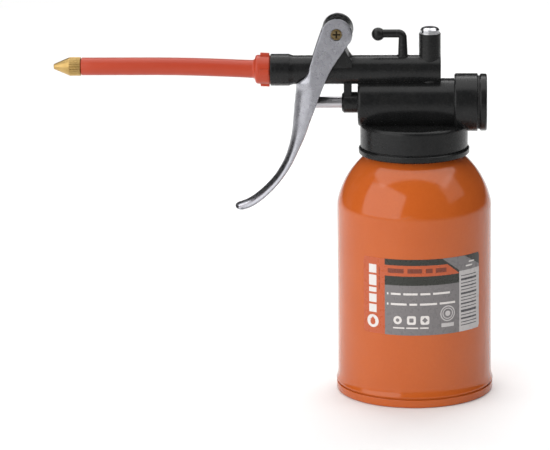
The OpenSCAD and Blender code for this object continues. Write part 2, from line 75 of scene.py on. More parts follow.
def softbox(name, place, aim, size, power, mirrored=True):
    """A rectangular studio light at a place, turned towards a point, in metres."""
    data = bpy.data.lights.new(name, "AREA")
    data.shape = "RECTANGLE"
    data.size, data.size_y = size
    data.energy = power
    light = bpy.data.objects.new(name, data)
    light.location = place
    light.rotation_mode = "QUATERNION"
    light.rotation_quaternion = (Vector(aim) - Vector(place)).to_track_quat("-Z", "Y")
    light.visible_camera = False
    light.visible_glossy = mirrored
    bpy.context.scene.collection.objects.link(light)


def make_studio():
    """A pale floor, four softboxes round the can, and two lights that aren't mirrored in it."""
    world = bpy.data.worlds.new("studio")
    world.use_nodes = True
    world.node_tree.nodes["Background"].inputs["Color"].default_value = (1, 1, 1, 1)
    world.node_tree.nodes["Background"].inputs["Strength"].default_value = 0.04
    bpy.context.scene.world = world
    bpy.context.scene.view_settings.view_transform = "Standard"
    shoulder = (-0.02, 0, 0.09)
    softbox("left_softbox", (-0.67, -0.53, 0.43), shoulder, (1.12, 0.8), 5.8)
    softbox("top_softbox", (0.0, 0.0, 0.70), (0, 0, 0), (1.3, 0.62), 5.0)
    softbox("back_softbox", (-0.05, 0.52, 0.80), (0, 0, 0.14), (1.2, 0.22), 3.2)
    softbox("right_softbox", (0.70, -0.19, 0.61), shoulder, (0.5, 0.42), 0.6)
    softbox("floor_light", (0.0, 1.45, 1.2), (0, 1.4, 0), (2.2, 1.4), 29, False)
    softbox("front_fill", (-0.85, -3.1, 0.38), (0, 0, 0.08), (1.6, 0.6), 70, False)
    half = 8.0
    corners = [(-half, -half, 0), (half, -half, 0), (half, half, 0), (-half, half, 0)]
    floor = bpy.data.meshes.new("floor")
    floor.from_pydata(corners, [], [(0, 1, 2, 3)])
    shader = Shader("floor", colour=(0.82, 0.82, 0.82), roughness=0.6, specular=0.2)
    floor.materials.append(shader.material)
    piece = bpy.data.objects.new("floor", floor)
    bpy.context.scene.collection.objects.link(piece)


# --- materials ---------------------------------------------------------------

# the sockets of a Mix node that is set to colours
MIX_FACTOR, MIX_A, MIX_B, MIX_RESULT = 0, 6, 7, 2


class Shader:
    """A material and short ways to add nodes to it. Sizes are in metres, in the piece's own frame."""

    def __init__(
        self,
        name,
        colour=(1, 1, 1),
        roughness=0.5,
        metallic=0.0,
        specular=0.5,
        coat=0.0,
        coat_roughness=0.1,
    ):
        self.material = bpy.data.materials.new(name)
        self.material.use_nodes = True
        self.tree = self.material.node_tree
        self.surface = self.tree.nodes["Principled BSDF"]
        self.material.diffuse_color = (*colour, 1)
        for socket, value in (
            ("Base Color", (*colour, 1)),
            ("Roughness", roughness),
            ("Metallic", metallic),
            ("Specular IOR Level", specular),
            ("Coat Weight", coat),
            ("Coat Roughness", coat_roughness),
        ):
            self.surface.inputs[socket].default_value = value
        self.place = None

    def index(self, value):
        """Sets the index of refraction: lower gives weaker edges."""
        self.surface.inputs["IOR"].default_value = value

    def node(self, kind, settings=(), **inputs):
        """Adds a node. An input goes by its number, as in i0, or by its label."""
        n = self.tree.nodes.new(kind)
        for key, value in settings:
            setattr(n, key, value)
        for key, value in inputs.items():
            numbered = key[0] == "i" and key[1:].isdigit()
            socket = n.inputs[int(key[1:])] if numbered else n.inputs[key]
            self.feed(socket, value)
        return n

    def feed(self, socket, value):
        """Links a socket to another, or sets its own value."""
        if isinstance(value, bpy.types.NodeSocket):
            self.tree.links.new(value, socket)
        elif isinstance(value, tuple) and len(value) == 3 and socket.type == "RGBA":
            socket.default_value = (*value, 1)
        else:
            socket.default_value = value

    def where(self):
        """The position on the piece."""
        if self.place is None:
            self.place = self.node("ShaderNodeTexCoord").outputs["Object"]
        return self.place

    def math(self, operation, a, b=0.0, c=0.0):
        """A sum, a product or another operation of a Math node."""
        return self.node("ShaderNodeMath", [("operation", operation)], i0=a, i1=b, i2=c).outputs[0]

    def noise(self, size, detail=2.0, stretch=None, roughness=0.5):
        """Noise whose features are about size across, drawn out along an axis by stretch."""
        at = self.where()
        if stretch:
            scaled = self.node("ShaderNodeVectorMath", [("operation", "MULTIPLY")], i0=at, i1=stretch)
            at = scaled.outputs[0]
        n = self.node("ShaderNodeTexNoise", Vector=at, Scale=1 / size, Detail=detail, Roughness=roughness)
        return n.outputs["Fac"]

    def span(self, value, low, high, start=0.3, end=0.7):
        """A number that goes from low to high as value goes from start to end."""
        n = self.node("ShaderNodeMapRange", i0=value, i1=start, i2=end, i3=low, i4=high)
        return n.outputs[0]

    def mix(self, factor, a, b):
        """A colour between a and b."""
        n = self.node("ShaderNodeMix", [("data_type", "RGBA")])
        self.feed(n.inputs[MIX_FACTOR], factor)
        self.feed(n.inputs[MIX_A], a)
        self.feed(n.inputs[MIX_B], b)
        return n.outputs[MIX_RESULT]

    def bump(self, height, depth, over=None):
        """Normals tilted by a height that stands depth high, over other normals."""
        n = self.node("ShaderNodeBump", Strength=1.0, Distance=depth, Height=height)
        if over is not None:
            self.feed(n.inputs["Normal"], over)
        return n.outputs["Normal"]

    def edges(self, radius):
        """Normals that round off sharp edges over a radius."""
        return self.node("ShaderNodeBevel", [("samples", 6)], Radius=radius).outputs[0]

    def set(self, socket, value):
        """Feeds one of the surface's own sockets."""
        self.feed(self.surface.inputs[socket], value)


def painted_orange():
    """Glossy enamel over sheet steel, with a faint orange-peel surface."""
    s = Shader("orange_enamel", roughness=0.12, specular=0.5)
    s.index(1.45)
    tone = s.span(s.noise(0.03, 3), 0, 1)
    speck = s.span(s.noise(0.0012, 2), 0, 1, 0.35, 0.75)
    base = s.mix(tone, (0.365, 0.0725, 0.0116), (0.39, 0.0815, 0.0134))
    s.set("Base Color", s.mix(s.math("MULTIPLY", speck, 0.25), base, (0.335, 0.061, 0.0092)))
    s.set("Roughness", s.span(s.noise(0.009, 4), 0.10, 0.17))
    s.set("Normal", s.bump(s.noise(0.0016, 2), 0.000006))
    return s.material


def moulded_black(name, low, high, grain):
    """Black nylon with a fine moulded grain and softly rounded edges."""
    s = Shader(name, roughness=0.4, specular=0.5)
    s.index(1.32)
    tone = s.span(s.noise(0.006, 4), 0, 1)
    s.set("Base Color", s.mix(tone, (0.0062, 0.0064, 0.0066), (0.0092, 0.0092, 0.0092)))
    s.set("Roughness", s.span(s.noise(0.002, 4), low, high))
    s.set("Normal", s.bump(s.noise(0.0005, 3), grain, s.edges(0.0004)))
    return s.material


def moulded_red():
    """Coral red plastic with slight flow marks along its length."""
    s = Shader("red_nylon", roughness=0.36, specular=0.36)
    tone = s.span(s.noise(0.012, 3, (0.25, 1, 1)), 0, 1)
    s.set("Base Color", s.mix(tone, (0.29, 0.0290, 0.0105), (0.325, 0.037, 0.013)))
    s.set("Roughness", s.span(s.noise(0.003, 3), 0.30, 0.44))
    s.set("Normal", s.bump(s.noise(0.0009, 3, (0.4, 1, 1)), 0.00001, s.edges(0.0003)))
    return s.material


def cast_zinc():
    """Tumbled and satin-polished zinc casting, with fine pits and a soft grain."""
    s = Shader("satin_zinc", metallic=1.0, roughness=0.35)
    tone = s.span(s.noise(0.004, 5, roughness=0.6), 0, 1)
    pits = s.span(s.noise(0.00045, 3, roughness=0.65), 0, 1, 0.55, 0.75)
    base = s.mix(tone, (0.33, 0.33, 0.36), (0.395, 0.395, 0.425))
    s.set("Base Color", s.mix(s.math("MULTIPLY", pits, 0.35), base, (0.30, 0.30, 0.33)))
    s.set("Roughness", s.span(s.noise(0.0015, 4), 0.24, 0.33))
    s.set("Normal", s.bump(s.noise(0.0006, 3), 0.0000018, s.edges(0.0002)))
    return s.material


def bright_metal(name, dark, light, low, high, grain_size=0.0006, grain=0.0000018):
    """A plated, machined or as-cast metal, between two tones and two roughnesses."""
    s = Shader(name, metallic=1.0, roughness=(low + high) / 2)
    s.set("Base Color", s.mix(s.span(s.noise(0.004, 4), 0, 1), dark, light))
    s.set("Roughness", s.span(s.noise(0.0012, 4), low, high))
    s.set("Normal", s.bump(s.noise(grain_size, 3), grain, s.edges(0.0002)))
    return s.material


def recessed_brass():
    """Dull brass whose cross recess, and all of it behind its outer face, is darkened with painted shade."""
    s = Shader("dull_brass", metallic=1.0, roughness=0.4)
    at = s.node("ShaderNodeSeparateXYZ", i0=s.where())
    # painted shade: the recess, which starts a little behind the screw's outer face, is coloured dark
    behind = 0.12
    inside = s.math("GREATER_THAN", at.outputs[1], -(HALF_W - behind) * MM)
    tone = s.mix(s.span(s.noise(0.0012, 4), 0, 1), (0.10, 0.07, 0.035), (0.30, 0.225, 0.115))
    # painted shade: near-black brass everywhere behind the outer face
    s.set("Base Color", s.mix(inside, tone, (0.035, 0.028, 0.018)))
    s.set("Roughness", s.span(s.noise(0.001, 4), 0.3, 0.5))
    s.set("Normal", s.bump(s.noise(0.0004, 3), 0.00001, s.edges(0.0002)))
    return s.material


def soft_plastic(name, dark, light, low, high):
    """Rubber or natural nylon with a fine grain."""
    s = Shader(name, roughness=(low + high) / 2, specular=0.4)
    s.set("Base Color", s.mix(s.span(s.noise(0.003, 4), 0, 1), dark, light))
    s.set("Roughness", s.span(s.noise(0.0015, 4), low, high))
    s.set("Normal", s.bump(s.noise(0.0006, 3), 0.000008, s.edges(0.0002)))
    return s.material


# --- mesh tools --------------------------------------------------------------


def rounded(corners, steps):
    """An outline in which each corner (a, b, radius) is rounded off over that radius."""
    outline = []
    count = len(corners)
    for i, (a, b, radius) in enumerate(corners):
        here = Vector((a, b))
        if radius <= 0:
            outline.append((a, b))
            continue
        before = Vector(corners[i - 1][:2]) - here
        after = Vector(corners[(i + 1) % count][:2]) - here
        reach = min(radius, before.length * 0.49, after.length * 0.49)
        start = here + before.normalized() * reach
        end = here + after.normalized() * reach
        for k in range(steps + 1):
            t = k / steps
            outline.append(tuple(start * (1 - t) ** 2 + here * 2 * t * (1 - t) + end * t * t))
    return outline


def eased(value):
    """A value clipped to 0 to 1, with a soft start and end."""
    t = min(max(value, 0), 1)
    return t * t * (3 - 2 * t)


def arc(centre, radius, start, end, steps):
    """Points of an arc, angles in degrees."""
    points = []
    for k in range(steps + 1):
        a = math.radians(start + (end - start) * k / steps)
        points.append((centre[0] + radius * math.cos(a), centre[1] + radius * math.sin(a)))
    return points


def smooth_curve(points, steps):
    """A Catmull-Rom curve through points."""
    out = []
    last = len(points) - 1
    for i in range(last):
        a, b, c, d = (Vector(points[max(0, min(last, k))]) for k in (i - 1, i, i + 1, i + 2))
        for k in range(steps):
            t = k / steps
            p = 2 * b + t * (c - a) + t * t * (2 * a - 5 * b + 4 * c - d) + t**3 * (3 * b - a - 3 * c + d)
            out.append(p / 2)
    out.append(Vector(points[last]))
    return out


def resampled(points, fractions):
    """The points at some fractions of a polyline's length."""
    lengths = [0.0]
    for a, b in zip(points, points[1:]):
        lengths.append(lengths[-1] + (b - a).length)
    out = []
    k = 0
    for fraction in fractions:
        want = lengths[-1] * fraction
        while k < len(points) - 2 and lengths[k + 1] < want:
            k += 1
        t = (want - lengths[k]) / max(lengths[k + 1] - lengths[k], 1e-9)
        out.append(points[k].lerp(points[k + 1], min(max(t, 0), 1)))
    return out


def finish_piece(name, bm, body, material, stands_for=(), sharp=35):
    """Makes an object of a bmesh whose numbers are in millimetres, and ties it to its body."""
    bmesh.ops.scale(bm, vec=(MM, MM, MM), verts=bm.verts)
    bmesh.ops.remove_doubles(bm, verts=bm.verts, dist=1e-7)
    bmesh.ops.recalc_face_normals(bm, faces=bm.faces)
    mesh = bpy.data.meshes.new(name)
    bm.to_mesh(mesh)
    bm.free()
    mesh.materials.append(material)
    for polygon in mesh.polygons:
        polygon.use_smooth = True
    mesh.set_sharp_from_angle(angle=math.radians(sharp))
    piece = bpy.data.objects.new(name, mesh)
    bpy.context.scene.collection.objects.link(piece)
    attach(piece, body)
    if stands_for:
        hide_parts(*stands_for)
    return piece


def lathe(bm, outline, segments, to_point):
    """Turns a closed outline of (along, radius) about an axis. to_point places (along, radius, angle)."""
    rings = []
    angles = [2 * math.pi * k / segments for k in range(segments)]
    for along, radius in outline:
        if radius < 1e-6:
            # one point on the axis, shared by the whole ring
            rings.append([bm.verts.new(to_point(along, 0, 0))] * segments)
        else:
            rings.append([bm.verts.new(to_point(along, radius, angle)) for angle in angles])
    for i, ring in enumerate(rings):
        after = rings[(i + 1) % len(rings)]
        for k in range(segments):
            j = (k + 1) % segments
            corners = []
            for v in (ring[k], ring[j], after[j], after[k]):
                if v not in corners:
                    corners.append(v)
            if len(corners) > 2:
                bm.faces.new(corners)


def upright(along, radius, angle):
    """Places lathe points about the bottle's own axis."""
    return (radius * math.cos(angle), radius * math.sin(angle), along)


# --- bottle ------------------------------------------------------------------

BODY_R = 34.0
SHEET = 0.6
SHOULDER_Z = 83.4
BLEND_R = 14.0
DOME_R = 36.7
DOME_X = -2.03
NECK_R = 19.0
MOUTH_Z = 117.5
RIM_R = 34.7
RIM_TOP = 3.7
# sides of the bottle's and the spout's turned pieces
TURNED_SIDES = 192


def bottle_side(inset):
    """The bottle's side from the seam to the mouth, as (z, r), a distance inside its outer face."""
    blend_x = BODY_R - BLEND_R
    rise = math.sqrt((DOME_R - BLEND_R) ** 2 - (blend_x - DOME_X) ** 2)
    dome_z = SHOULDER_Z - rise
    meet = math.degrees(math.atan2(rise, blend_x - DOME_X))
    top = math.degrees(math.acos((NECK_R + 0.6 - DOME_X) / DOME_R))
    low = [
        (RIM_TOP, 34.15 - inset, 0),
        (4.05, 34.3 - inset, 0.2),
        (4.6, 34.88 - inset, 0.5),
        (6.2, 34.35 - inset, 1.5),
        (8.4, BODY_R - inset, 2.0),
        (20, BODY_R - inset, 0),
    ]
    side = [(z, r) for z, r in rounded(low, 4)]
    side += [(z, BODY_R - inset) for z in (33, 50, 67, 76)]
    side += [(z, r) for r, z in arc((blend_x, SHOULDER_Z), BLEND_R - inset, 0, meet, 14)]
    side += [(z, r) for r, z in arc((DOME_X, dome_z), DOME_R - inset, meet, top, 26)[1:]]
    foot = dome_z + DOME_R * math.sin(math.radians(top))
    side += [(foot + 0.25, NECK_R + 0.25 - inset), (foot + 0.8, NECK_R - inset)]
    side.append((MOUTH_Z - 0.3, NECK_R - inset))
    return side


def make_bottle(paint):
    """The drawn shell with its neck, and the pressed bottom whose rim is rolled round the shell's foot."""
    outer = bottle_side(0)
    inner = bottle_side(SHEET)
    lip = [(MOUTH_Z, NECK_R - 0.2), (MOUTH_Z, NECK_R - 0.4)]
    bm = bmesh.new()
    lathe(bm, outer + lip + inner[::-1], TURNED_SIDES, upright)
    finish_piece("bottle_body", bm, "bottle", paint, ["bottle_shell"], 50)

    seam_gap = 0.06
    inside = BODY_R - SHEET - seam_gap
    corners = [
        (1.8, 0.0, 0), (1.8, 30.6, 0.8), (0.2, 32.1, 0.6), (0, 32.6, 0.3), (0, RIM_R, 1.4),
        (RIM_TOP - 0.1, RIM_R, 0.9), (RIM_TOP, 34.1, 0.3), (RIM_TOP, inside, 0), (7.5, inside, 0),
        (7.5, inside - SHEET, 0), (2.4, inside - SHEET, 0.8), (2.4, 0.0, 0),
    ]
    bm = bmesh.new()
    lathe(bm, rounded(corners, 5), TURNED_SIDES, upright)
    finish_piece("bottle_bottom", bm, "bottle", paint, ["bottle_base"], 50)


def make_neck_thread(paint):
    """The rolled thread on the neck, hidden under the skirt until the head is unscrewed."""
    pitch, turns, steps = 2.5, 2.4, 72
    start_z, crest, fade_steps = 109.6, 0.85, 14
    crest_half, foot_half, foot_depth = 0.45, 0.95, 0.3
    bm = bmesh.new()
    rings = []
    total = int(turns * steps)
    for i in range(total + 1):
        angle = 2 * math.pi * i / steps
        fade = min(1, i / fade_steps, (total - i) / fade_steps)
        height = crest * fade
        z = start_z + pitch * i / steps
        profile = (
            (-foot_half, -foot_depth), (-crest_half, height), (crest_half, height), (foot_half, -foot_depth)
        )
        ring = []
        for dz, dr in profile:
            r = NECK_R + dr
            ring.append(bm.verts.new((r * math.cos(angle), r * math.sin(angle), z + dz)))
        rings.append(ring)
    for a, b in zip(rings, rings[1:]):
        for k in range(4):
            bm.faces.new((a[k], b[k], b[(k + 1) % 4], a[(k + 1) % 4]))
    bm.faces.new(rings[0])
    bm.faces.new(rings[-1])
    finish_piece("neck_thread", bm, "bottle", paint, sharp=30)


# --- label -------------------------------------------------------------------

# degrees round the bottle, and millimetres
LABEL_START = -129.7
LABEL_SPAN = 96.0
LABEL_R = 34.13
LABEL_LOW = 33.0
LABEL_HIGH = 67.0


def label_print():
    """The label's print: plain blocks, bars and simple signs, all without lettering."""
    s = Shader("label_print", roughness=0.3, specular=0.35, coat=0.15, coat_roughness=0.12)
    across = s.node("ShaderNodeSeparateXYZ", i0=s.where())
    angle = s.math("ARCTAN2", across.outputs[1], across.outputs[0])
    # millimetres round the bottle from the label's left edge, and above the table
    u = s.math("MULTIPLY_ADD", angle, LABEL_R, -math.radians(LABEL_START) * LABEL_R)
    v = s.math("MULTIPLY", across.outputs[2], 1 / MM)

    def box(u0, u1, v0, v1):
        """1 inside a box, 0 outside it."""
        a = s.math("COMPARE", u, (u0 + u1) / 2, (u1 - u0) / 2)
        b = s.math("COMPARE", v, (v0 + v1) / 2, (v1 - v0) / 2)
        return s.math("MULTIPLY", a, b)

    def disc(uc, vc, radius, power=2.0):
        """A disc, or with a higher power a square with round corners."""
        du = s.math("POWER", s.math("ABSOLUTE", s.math("SUBTRACT", u, uc)), power)
        dv = s.math("POWER", s.math("ABSOLUTE", s.math("SUBTRACT", v, vc)), power)
        return s.math("LESS_THAN", s.math("ADD", du, dv), radius**power)

    def ring(uc, vc, radius, width):
        """A ring whose outer edge has that radius."""
        return without(disc(uc, vc, radius), disc(uc, vc, radius - width))

    def without(a, b):
        """Inside a, but not inside b."""
        return s.math("MULTIPLY", a, s.math("SUBTRACT", 1.0, b))

    def both(a, b):
        """Inside a and b."""
        return s.math("MULTIPLY", a, b)

    def either(*parts):
        """Inside any of the parts."""
        total = parts[0]
        for p in parts[1:]:
            total = s.math("MAXIMUM", total, p)
        return total

    def above_line(u0, v0, u1, v1):
        """Above and to the right of a slanted line through two points."""
        slope = (v1 - v0) / (u1 - u0)
        line = s.math("MULTIPLY_ADD", u, slope, v0 - slope * u0)
        return s.math("GREATER_THAN", v, line)

    def row(v0, v1, spans):
        """Boxes side by side, from v0 to v1 in height."""
        return either(*[box(a, b, v0, v1) for a, b in spans])

    panel_u, strip_u, end_u = 10.8, 44.8, math.radians(LABEL_SPAN) * LABEL_R
    grain = s.span(s.noise(0.0005, 3), 0, 1)
    orange = s.mix(grain, (0.345, 0.066, 0.020), (0.36, 0.070, 0.022))
    grey = s.mix(grain, (0.130, 0.121, 0.122), (0.135, 0.126, 0.127))
    dark = (0.019, 0.020, 0.016)
    white = (0.53, 0.50, 0.48)
    pale = (0.38, 0.36, 0.355)

    colour = s.mix(box(panel_u, strip_u, LABEL_LOW, LABEL_HIGH), orange, grey)
    colour = s.mix(box(panel_u, strip_u, 55.4, LABEL_HIGH), colour, dark)
    colour = s.mix(box(panel_u, strip_u, 59.5, 64.3), colour, orange)
    # the right-hand strip, its slanted corner and its pale panel
    colour = s.mix(box(strip_u, end_u, LABEL_LOW, LABEL_HIGH), colour, grey)
    edge = both(above_line(35.4, LABEL_HIGH, strip_u, 59.6), box(34, strip_u, 59.5, LABEL_HIGH))
    slant_line = above_line(36.4, LABEL_HIGH, strip_u + 0.6, 60.4)
    slant = both(slant_line, box(35, end_u, 60.4, LABEL_HIGH))
    corner = both(above_line(47.6, LABEL_HIGH, end_u, 61.6), box(46, end_u, 61, LABEL_HIGH))
    colour = s.mix(edge, colour, dark)
    colour = s.mix(slant, colour, grey)
    colour = s.mix(corner, colour, dark)
    colour = s.mix(box(strip_u, end_u, LABEL_LOW, 60.4), colour, pale)
    # ruled lines of several thicknesses, evenly spaced
    low, space = 35.6, 1.0
    bars = []
    for thickness in (0.4, 0.4, 0.8, 0.4, 1.1, 0.4, 0.7, 0.4, 0.4, 0.9, 0.4, 0.6, 0.4, 1.0, 0.4):
        bars.append(box(strip_u + 0.9, end_u - 2.0, low, low + thickness))
        low += thickness + space
    colour = s.mix(either(*bars), colour, (0.045, 0.043, 0.048))
    # plain bars where a title and two lines would be
    title = row(60.9, 62.9, [(12.2, 19.4), (21.0, 27.4), (29.0, 32.0), (33.4, 38.4)])
    colour = s.mix(title, colour, (0.13, 0.027, 0.013))
    side_bars = ((53.0, 56.2), (57.0, 58.8), (59.6, 63.0))
    side = either(*[box(7.9, 8.5, a, b) for a, b in side_bars])
    colour = s.mix(side, colour, (0.22, 0.037, 0.013))
    lines = either(
        row(51.1, 52.0, [(11.8, 12.5), (13.6, 18.0), (19.2, 25.4), (26.6, 31.0), (32.2, 40.0)]),
        row(46.5, 47.4, [(11.8, 12.5), (13.6, 20.6), (21.8, 25.2), (26.4, 34.0), (35.2, 42.6)]),
        row(36.0, 36.6, [(14.6, 19.6), (20.4, 25.6), (26.4, 30.2)]),
        row(63.6, 64.2, [(50.2, 53.6)]),
        row(61.9, 62.5, [(48.4, 52.4)]),
    )
    # three small signs, a disc and two squares, with a round, a square and a diamond hole
    sign_v = 39.8
    disc_sign = without(disc(16.6, sign_v, 1.85), disc(16.6, sign_v, 0.8))
    square_sign = without(disc(22.7, sign_v, 1.95, 5.0), disc(22.7, sign_v, 0.95, 5.0))
    diamond_sign = without(disc(28.6, sign_v, 1.95, 5.0), disc(28.6, sign_v, 1.25, 1.0))
    # a ringed disc over a bar
    seal_u, seal_v = 39.0, 42.2
    seal = either(
        ring(seal_u, seal_v, 3.5, 0.5),
        ring(seal_u, seal_v, 2.5, 0.4),
        disc(seal_u, seal_v, 1.2),
        box(seal_u - 3.0, seal_u + 3.0, 36.2, 37.9),
    )
    # a drop in a plain disc, under a column of plain blocks
    drop_u = 4.9
    drop = either(disc(drop_u, 38.0, 1.3), disc(drop_u, 39.0, 1.3, 1.0))
    drop_sign = without(disc(drop_u, 38.4, 2.9), drop)
    blocks = ((42.4, 46.0), (46.9, 50.6), (51.5, 53.6), (54.5, 59.2), (60.1, 63.9))
    column = either(*[box(3.0, 6.8, a, b) for a, b in blocks])
    signs = either(lines, disc_sign, square_sign, diamond_sign, drop_sign, column)
    colour = s.mix(signs, colour, white)
    colour = s.mix(seal, colour, pale)
    s.set("Base Color", colour)
    s.set("Roughness", s.span(s.noise(0.002, 3), 0.24, 0.34))
    s.set("Normal", s.bump(s.noise(0.0011, 2), 0.000004))
    return s.material


def make_label(material):
    """A thin sheet wrapped round the bottle, its corners rounded."""
    inner, outer = BODY_R + 0.02, LABEL_R
    columns, rows, corner = 96, 24, 0.6
    width, height = math.radians(LABEL_SPAN) * LABEL_R, LABEL_HIGH - LABEL_LOW
    bm = bmesh.new()
    sheets = []
    for radius in (inner, outer):
        grid = []
        for j in range(rows + 1):
            v = height * j / rows
            gap = corner - min(v, height - v)
            inset = corner - math.sqrt(corner**2 - gap**2) if gap > 0 else 0
            line = []
            for i in range(columns + 1):
                u = inset + (width - 2 * inset) * i / columns
                a = math.radians(LABEL_START) + u / LABEL_R
                line.append(bm.verts.new((radius * math.cos(a), radius * math.sin(a), LABEL_LOW + v)))
            grid.append(line)
        sheets.append(grid)
    for grid in sheets:
        for a, b in zip(grid, grid[1:]):
            for i in range(columns):
                bm.faces.new((a[i], a[i + 1], b[i + 1], b[i]))
    below, above = sheets
    for j in range(rows):
        for i in (0, columns):
            bm.faces.new((below[j][i], below[j + 1][i], above[j + 1][i], above[j][i]))
    for i in range(columns):
        for j in (0, rows):
            bm.faces.new((below[j][i], below[j][i + 1], above[j][i + 1], above[j][i]))
    finish_piece("label_sheet", bm, "bottle", material, ["label"])


# --- trigger -----------------------------------------------------------------

PIVOT = Vector((-33.5, 161.2))
END_R = 6.85
HALF_W = 8.1
PLATE = 1.5
WEB = 1.8
BARREL_R = 6.35
BARREL_Z = 144.2


def trigger_edges():
    """Matching points down the trigger's front and rear edges, from the round end to the tip, as (x, z)."""
    centre = PIVOT + Vector((0.15, 0.0))
    front, rear = [], []
    for step in range(9):
        for edge, angle in ((front, 98 + 7.7 * step), (rear, 92 - 15.9 * step)):
            turn = math.radians(angle)
            edge.append(centre + END_R * Vector((math.cos(turn), math.sin(turn))))
    front_points = [
        (-39.75, 163.3), (-42.9, 154.3), (-45.6, 145.9), (-46.4, 143.6), (-47.9, 141.4),
        (-51.1, 138.8), (-51.7, 135), (-52.3, 130), (-52.9, 124), (-53.6, 117), (-55.1, 110),
        (-57.5, 103.5), (-61.4, 97.0), (-66.7, 91.2), (-71.9, 87.1), (-75.6, 85.25), (-77.6, 84.6),
        (-78.6, 84.05), (-78.98, 83.4),
    ]
    rear_points = [
        (-28.2, 157.0), (-30.2, 154.1), (-35.9, 145.5), (-39.7, 137.3), (-42.3, 130.2), (-45.1, 123),
        (-47.6, 115.9), (-50.8, 108.7), (-54.4, 101.5), (-59.4, 94.3), (-64.7, 88.7), (-69.0, 85.2),
        (-72.3, 83.3), (-75.2, 82.35), (-77.3, 82.3), (-78.5, 82.65), (-78.98, 83.25),
    ]
    front += smooth_curve(front_points, 6)
    rear += smooth_curve(rear_points, 6)
    return front, rear


def clear_of_barrel(z):
    """How far from the middle plane the web's edge stays at a height, so that the barrel passes."""
    clearance = 0.6
    room = BARREL_R + clearance
    if z > BARREL_Z:
        return HALF_W - PLATE
    return math.sqrt(max(room**2 - (BARREL_Z - z) ** 2, 0))


def half_width(z):
    """Half of the trigger's width at a height: it widens steadily up from the tip to its full width."""
    tip_width, tip_z, widening, over = 5.2, 84, 2.9, 44
    return min(HALF_W, tip_width + widening * max(z - tip_z, 0) / over)


def trigger_section(front, rear):
    """Half of the trigger's cross-section between an edge pair: its outer and its inner (x, y, z)."""
    across = rear - front
    depth = across.length
    along = across / depth
    middle = (front + rear) / 2
    width = half_width(middle.y)
    # the tip is round when seen from above, and the hollow behind fades out before it
    round_from, round_to = -76.2, -79.05
    if middle.x < round_from:
        beyond = (middle.x - round_from) / (round_to - round_from)
        width *= max(math.sqrt(max(1 - beyond**2, 0)), 0.04)
    hollow_ends, fade = -60.5, 9
    filled = eased((hollow_ends - middle.x) / fade)
    web_z = front.y
    nose = min(width * 0.98, depth * 0.86)
    # the round nose gives way to plain plates with softened corners above the web
    nose_ends, change = 138.0, 9.5
    plain = eased((web_z - nose_ends) / change)
    start = math.asin(min(clear_of_barrel(web_z) / width, 1))
    wall_nose = max(nose - WEB, nose * 0.25)
    wall_width = max(width - PLATE, width * 0.3)
    corner = min(0.5, depth * 0.3)
    shift = nose * math.cos(start) * (1 - plain) + corner * plain
    outer, inner = [], []
    turns, flats, edge_turns = 14, 7, 5
    for k in range(turns + 1):
        a = start + (math.pi / 2 - start) * k / turns
        nose_t = nose * (math.cos(start) - math.cos(a))
        inner_y = max(wall_width * math.sin(a), min(wall_width, width * math.sin(start)))
        inner_t = nose * math.cos(start) - wall_nose * math.cos(a)
        # on a plain plate: straight across its edge, then round its outer corner
        across_edge = min(k / edge_turns, 1)
        bend = math.radians(90 * max(k - edge_turns, 0) / (turns - edge_turns))
        plate_t = corner * (1 - math.cos(bend))
        plate_y = wall_width + (width - corner - wall_width) * across_edge + corner * math.sin(bend)
        outer_y = width * math.sin(a) * (1 - plain) + plate_y * plain
        outer.append((nose_t + (plate_t - nose_t) * plain, outer_y))
        wall_t = inner_t + (corner * k / turns - inner_t) * plain
        inner.append((wall_t, inner_y + (wall_width - inner_y) * plain))
    soft = min(0.5, depth * 0.3, width * 0.3)
    reach = depth - soft
    for k in range(1, flats + 1):
        t = shift + (reach - shift) * k / flats
        outer.append((t, width))
        inner.append((t, wall_width))
    # the rear corners, rounded
    outer += [
        (depth - soft * 0.62, width - soft * 0.08),
        (depth - soft * 0.3, width - soft * 0.3),
        (depth - soft * 0.08, width - soft * 0.62),
        (depth, width - soft),
    ]
    inner += [
        (depth - soft * 0.3, wall_width + soft * 0.1),
        (depth, min(wall_width + soft * 0.4, width - soft)),
    ]
    skin = 0.02
    inner = [(t + (depth - skin - t) * filled, y) for t, y in inner]

    def place(pair):
        """A point from its distance behind the front edge and from the middle plane."""
        p = front + along * pair[0]
        return (p.x, -pair[1], p.y)

    return [place(p) for p in outer], [place(p) for p in inner]


def loft(bm, loops, second_from=None):
    """Closed loops of points joined one to the next, with both ends closed.

    Faces from one point of the loops onwards can have the second material.
    """
    rings = [[bm.verts.new(p) for p in loop] for loop in loops]
    for a, b in zip(rings, rings[1:]):
        for k in range(len(a)):
            j = (k + 1) % len(a)
            face = bm.faces.new((a[k], a[j], b[j], b[k]))
            if second_from is not None and k >= second_from:
                face.material_index = 1
    bm.faces.new(rings[0])
    bm.faces.new(rings[-1])


def push_pad():
    """The pad inside the handle that pushes the plunger rod, with an involute face."""
    lever, contact, squeeze, gap_z = 31.6, 15.9, math.radians(20), 2.4
    steps, half = 12, 3.5
    pump_z = PIVOT.y - lever
    face = []
    for i in range(steps + 1):
        a = squeeze * i / steps
        left = contact - lever * a
        x = PIVOT.x - lever * math.sin(a) - left * math.cos(a)
        z = PIVOT.y - lever * math.cos(a) + left * math.sin(a)
        face.append((x, z))
    # closed off at the web, behind the face
    outline = [(-50.6, pump_z - gap_z), (PIVOT.x - contact, pump_z - gap_z)] + face
    outline += [(face[-1][0], face[-1][1] + 0.6), (-50.4, face[-1][1] + 2.2)]
    bm = bmesh.new()
    loft(bm, [[(x, y, z) for x, z in outline] for y in (-half, half)])
    return bm


def scratch(bm, materials):
    """A temporary object of a bmesh, for a boolean."""
    bmesh.ops.recalc_face_normals(bm, faces=bm.faces)
    mesh = bpy.data.meshes.new("scratch")
    bm.to_mesh(mesh)
    bm.free()
    for material in materials:
        mesh.materials.append(material)
    thing = bpy.data.objects.new("scratch", mesh)
    bpy.context.scene.collection.objects.link(thing)
    return thing


